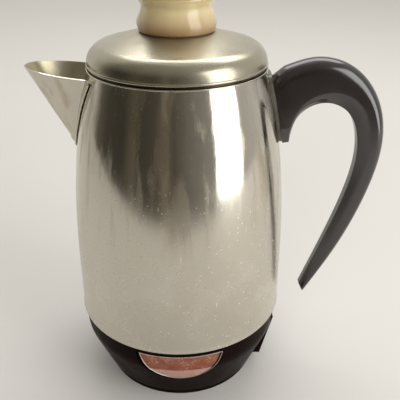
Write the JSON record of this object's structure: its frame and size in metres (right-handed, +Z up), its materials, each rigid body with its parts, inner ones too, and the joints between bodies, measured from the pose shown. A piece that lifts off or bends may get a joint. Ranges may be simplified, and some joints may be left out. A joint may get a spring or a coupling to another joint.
{
  "type": "electric coffee percolator",
  "caption": "Electric coffee percolator: tapered steel pot on a black moulded base, V spout, horn handle, domed lift-off lid with amber knob, lift-out pump and basket.",
  "frame": {"origin": "on the table at the pot axis, in the plane of the foot ring", "axes": "+Z up along the pot axis, +X towards the handle, -X towards the spout, -Y towards the badge"},
  "size_m": [0.2216, 0.1388, 0.2689],
  "materials": {
    "polished_steel": "polished, worn and hazed",
    "satin_steel": "satin",
    "black_phenolic": "moulded, semi-gloss",
    "amber_plastic": "aged clear moulding, yellowed",
    "badge_metal": "copper field with a bare metal border",
    "rubber_seal": "matte",
    "bright_aluminium": "drawn, satin",
    "plain_steel": "zinc plated",
    "dull_aluminium": "mill finish",
    "heater_sheath": "heat darkened",
    "brass_contact": "machined",
    "thermostat_case": "moulded",
    "wire_sleeve": "woven glass sleeve"
  },
  "bodies": {
    "pot": {"pot_body": "polished_steel", "pot_floor": "polished_steel", "spout": "polished_steel", "handle_bracket": "polished_steel", "base_shell": "black_phenolic", "handle": "black_phenolic", "inlet_block": "black_phenolic", "badge": "badge_metal", "gasket": "rubber_seal", "handle_screw": "plain_steel", "inlet_screws": "plain_steel", "clamp_nut": "plain_steel", "centre_stud": "plain_steel", "base_washer": "plain_steel", "base_nut": "plain_steel", "bottom_cover": "plain_steel", "thermostat_clip": "plain_steel", "heater_clamp": "dull_aluminium", "heat_shield": "dull_aluminium", "heating_element": "heater_sheath", "warm_heater": "heater_sheath", "inlet_pins": "brass_contact", "thermostat_blades": "brass_contact", "thermostat": "thermostat_case", "heater_lead": "wire_sleeve", "thermostat_lead": "wire_sleeve", "return_lead": "wire_sleeve"},
    "pump": {"pump_tube": "bright_aluminium", "pump_bell": "bright_aluminium", "basket_collar": "bright_aluminium"},
    "valve": {"pump_valve": "bright_aluminium"},
    "basket": {"basket": "bright_aluminium"},
    "spreader": {"spreader": "bright_aluminium"},
    "lid": {"lid_cover": "satin_steel", "lid_skirt": "satin_steel", "knob_washer": "rubber_seal"},
    "knob": {"knob": "amber_plastic"}
  },
  "joints": [
    {"name": "pump_lift", "type": "slide", "parent": "pot", "child": "pump", "axis": [0, 0, 1], "range_m": [0, 0.2]},
    {"name": "valve_bob", "type": "slide", "parent": "pump", "child": "valve", "axis": [0, 0, 1], "range_m": [0, 0.002]},
    {"name": "basket_lift", "type": "slide", "parent": "pump", "child": "basket", "axis": [0, 0, 1], "range_m": [0, 0.1]},
    {"name": "spreader_lift", "type": "slide", "parent": "basket", "child": "spreader", "axis": [0, 0, 1], "range_m": [0, 0.06]},
    {"name": "lid_lift", "type": "slide", "parent": "spreader", "child": "lid", "axis": [0, 0, 1], "range_m": [0, 0.12]},
    {"name": "knob_twist", "type": "hinge", "parent": "lid", "child": "knob", "pos_m": [0, 0, 0.2349], "axis": [0, 0, 1], "range_deg": [0, 60]}
  ]
}
